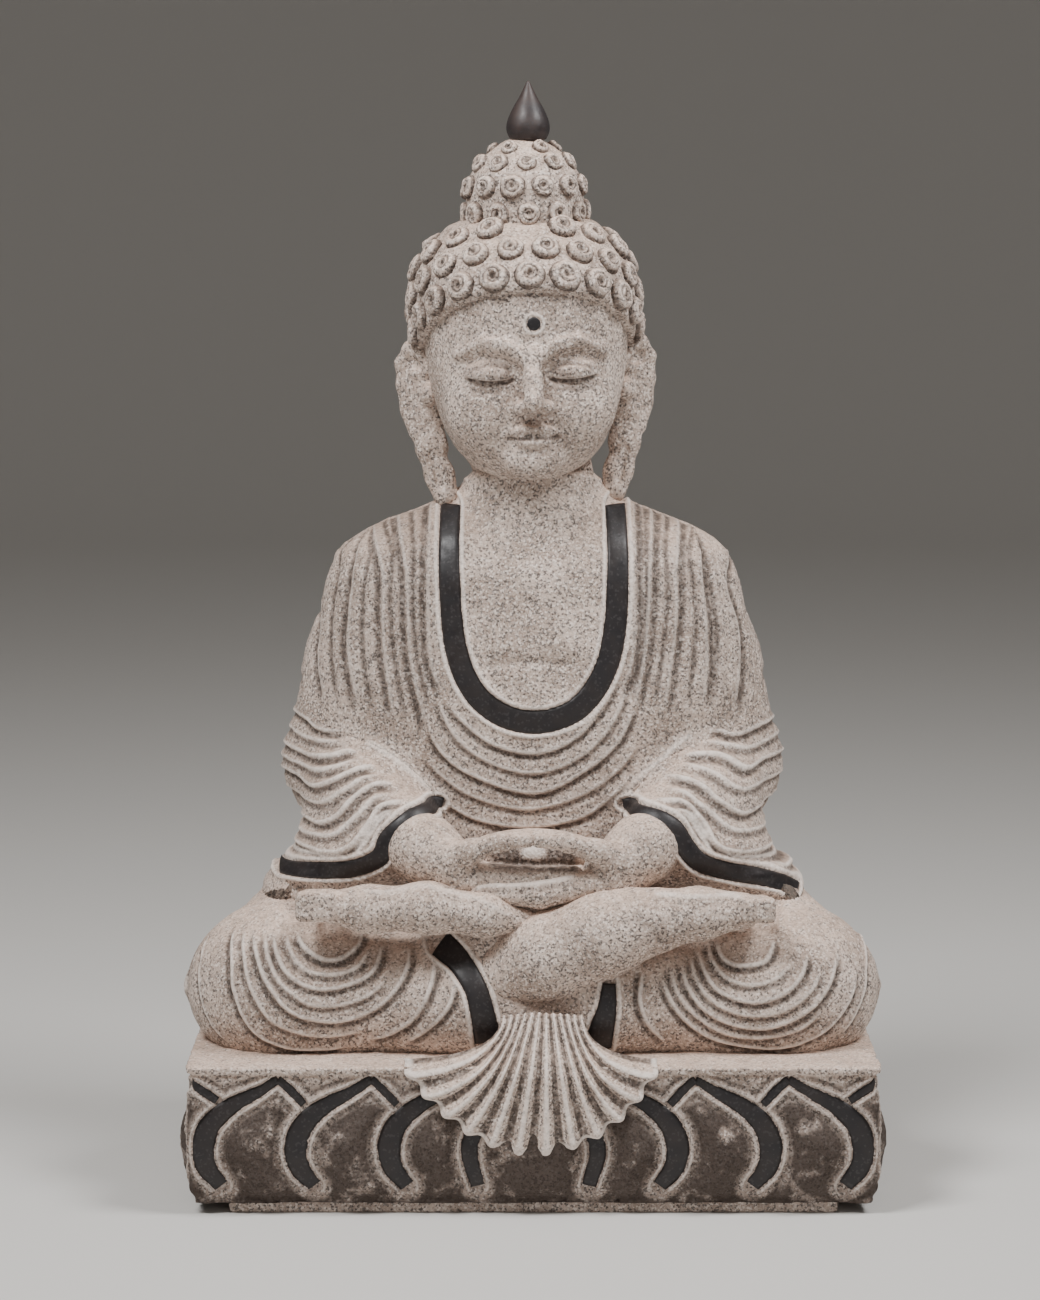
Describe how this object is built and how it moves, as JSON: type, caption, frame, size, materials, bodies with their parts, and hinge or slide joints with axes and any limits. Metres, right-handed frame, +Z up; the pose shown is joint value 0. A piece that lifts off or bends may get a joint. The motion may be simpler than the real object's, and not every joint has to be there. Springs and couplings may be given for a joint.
{
  "type": "buddha statue",
  "caption": "Seated meditating Buddha carved in grey granite on a lotus plinth, with dark polished borders on robe and petals.",
  "frame": {"origin": "on the floor, under the middle of the statue's outline", "axes": "+Z up, -Y the way the figure faces, +X to the right of someone who looks at its face"},
  "size_m": [0.3742, 0.2576, 0.5998],
  "materials": {
    "dressed_granite": "bush-hammered",
    "polished_dark_stone": "polished",
    "dowel_steel": "plain"
  },
  "bodies": {
    "root": {"base_slab": "dressed_granite", "lotus_plinth": "dressed_granite", "lap_and_legs": "dressed_granite", "front_cloth": "dressed_granite", "crossed_shin_and_foot": "dressed_granite", "resting_foot": "dressed_granite", "torso": "dressed_granite", "sleeve_left": "dressed_granite", "sleeve_right": "dressed_granite", "hand_left": "dressed_granite", "hand_right": "dressed_granite", "head": "dressed_granite", "ear_left": "dressed_granite", "ear_right": "dressed_granite", "hair_cap": "dressed_granite", "topknot": "dressed_granite", "petal_border_front_centre": "polished_dark_stone", "petal_border_front_a1": "polished_dark_stone", "petal_border_front_a2": "polished_dark_stone", "petal_border_front_a3": "polished_dark_stone", "petal_border_front_b1": "polished_dark_stone", "petal_border_front_b2": "polished_dark_stone", "petal_border_front_b3": "polished_dark_stone", "petal_border_back_centre": "polished_dark_stone", "petal_border_back_a1": "polished_dark_stone", "petal_border_back_a2": "polished_dark_stone", "petal_border_back_a3": "polished_dark_stone", "petal_border_back_b1": "polished_dark_stone", "petal_border_back_b2": "polished_dark_stone", "petal_border_back_b3": "polished_dark_stone", "petal_border_left_centre": "polished_dark_stone", "petal_border_left_a1": "polished_dark_stone", "petal_border_left_a2": "polished_dark_stone", "petal_border_left_b1": "polished_dark_stone", "petal_border_left_b2": "polished_dark_stone", "petal_border_right_centre": "polished_dark_stone", "petal_border_right_a1": "polished_dark_stone", "petal_border_right_a2": "polished_dark_stone", "petal_border_right_b1": "polished_dark_stone", "petal_border_right_b2": "polished_dark_stone", "petal_border_corner_front_left": "polished_dark_stone", "petal_border_corner_front_right": "polished_dark_stone", "petal_border_corner_back_left": "polished_dark_stone", "petal_border_corner_back_right": "polished_dark_stone", "hem_band_left": "polished_dark_stone", "hem_band_right": "polished_dark_stone", "collar_band": "polished_dark_stone", "cuff_band_left": "polished_dark_stone", "cuff_band_right": "polished_dark_stone", "urna": "polished_dark_stone", "finial": "polished_dark_stone", "seat_dowel_left": "dowel_steel", "seat_dowel_right": "dowel_steel", "neck_dowel": "dowel_steel", "crown_dowel": "dowel_steel", "finial_dowel": "dowel_steel"}
  },
  "joints": []
}
